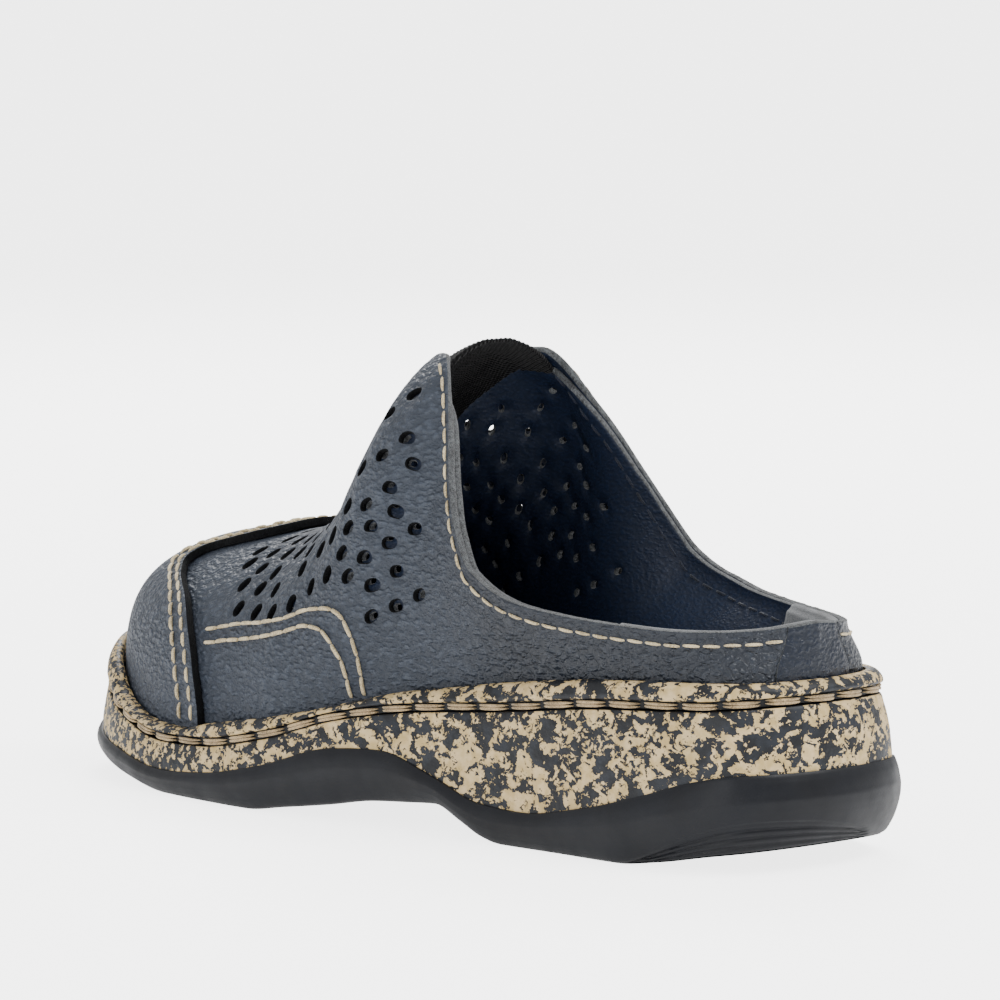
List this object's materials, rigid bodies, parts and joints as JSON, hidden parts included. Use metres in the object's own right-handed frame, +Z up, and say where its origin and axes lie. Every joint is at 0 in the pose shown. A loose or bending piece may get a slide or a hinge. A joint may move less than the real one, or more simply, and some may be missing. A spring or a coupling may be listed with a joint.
{
  "type": "slip-on leather clog",
  "caption": "Backless slip-on clog with a perforated leather upper, elastic gore at the throat, stitched rand, mottled midsole and rubber outsole.",
  "frame": {"origin": "middle of the outsole's footprint, on the ground that the shoe stands on", "axes": "+Z up, +Y from the toe towards the heel, +X towards the outer side of the foot"},
  "size_m": [0.1015, 0.2606, 0.1182],
  "materials": {
    "rubber": "satin moulded rubber",
    "mottled": "matte, cream flecks in dark navy",
    "leather": "pebbled grain, soft sheen",
    "lining": "smooth, satin",
    "suede": "napped suede",
    "elastic": "ribbed elastic webbing",
    "thread": "twisted waxed thread",
    "steel": "rolled spring steel",
    "board": "pressed fibre board",
    "foam": "open-cell foam",
    "stiffener": "thermoplastic sheet"
  },
  "bodies": {
    "root": {"outsole": "rubber", "forefoot_tread_pad": "rubber", "heel_tread_pad": "rubber", "midsole": "mottled", "shank": "steel", "rand": "mottled", "rand_thread": "thread", "insole_board": "board", "footbed_foam": "foam", "footbed_cover": "lining", "toe_cap": "leather", "toe_puff": "stiffener", "toe_lining": "lining", "vamp": "leather", "elastic_gore": "elastic", "outer_side_lining": "lining", "inner_side_lining": "lining", "back_strip": "leather", "heel_counter": "stiffener", "heel_grip": "suede", "cap_thread_rear": "thread", "cap_thread_front": "thread", "outer_collar_thread": "thread", "inner_collar_thread": "thread", "outer_side_thread_upper": "thread", "outer_side_thread_lower": "thread", "inner_side_thread_upper": "thread", "inner_side_thread_lower": "thread"}
  },
  "joints": []
}
